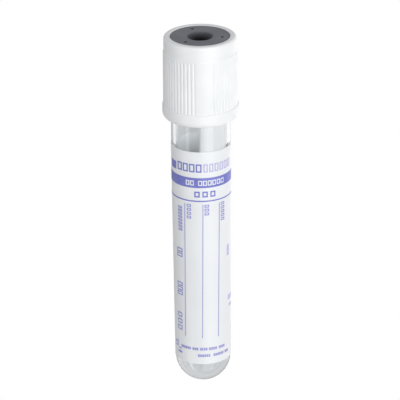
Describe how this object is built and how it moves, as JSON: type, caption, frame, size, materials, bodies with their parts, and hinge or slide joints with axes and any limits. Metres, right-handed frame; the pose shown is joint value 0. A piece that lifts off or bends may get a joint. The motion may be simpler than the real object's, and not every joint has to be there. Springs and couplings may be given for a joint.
{
  "type": "blood collection tube",
  "caption": "Clear plastic blood collection tube with a round end, a wrapped label, and a ribbed white safety cap that holds a rubber stopper; the closure pulls off.",
  "frame": {"origin": "on the tube's axis, in the plane of the cap's flat rim, on which the tube stands upside down", "axes": "+Z along the tube's axis, from the cap's rim towards the tip of the round end; -Y towards the label's front"},
  "size_m": [0.0164, 0.0164, 0.0808],
  "materials": {
    "cap_plastic": "satin white moulded plastic",
    "stopper_rubber": "matt dark grey rubber",
    "tube_plastic": "clear glossy plastic",
    "label_film": "satin white film",
    "label_ink": "violet ink"
  },
  "bodies": {
    "closure": {"safety_cap": "cap_plastic", "stopper": "stopper_rubber"},
    "labelled_tube": {"tube": "tube_plastic", "label": "label_film", "label_print": "label_ink"}
  },
  "joints": [
    {"name": "closure_pull", "type": "slide", "parent": "closure", "child": "labelled_tube", "axis": [0, 0, 1], "range_m": [0, 0.0166]}
  ]
}
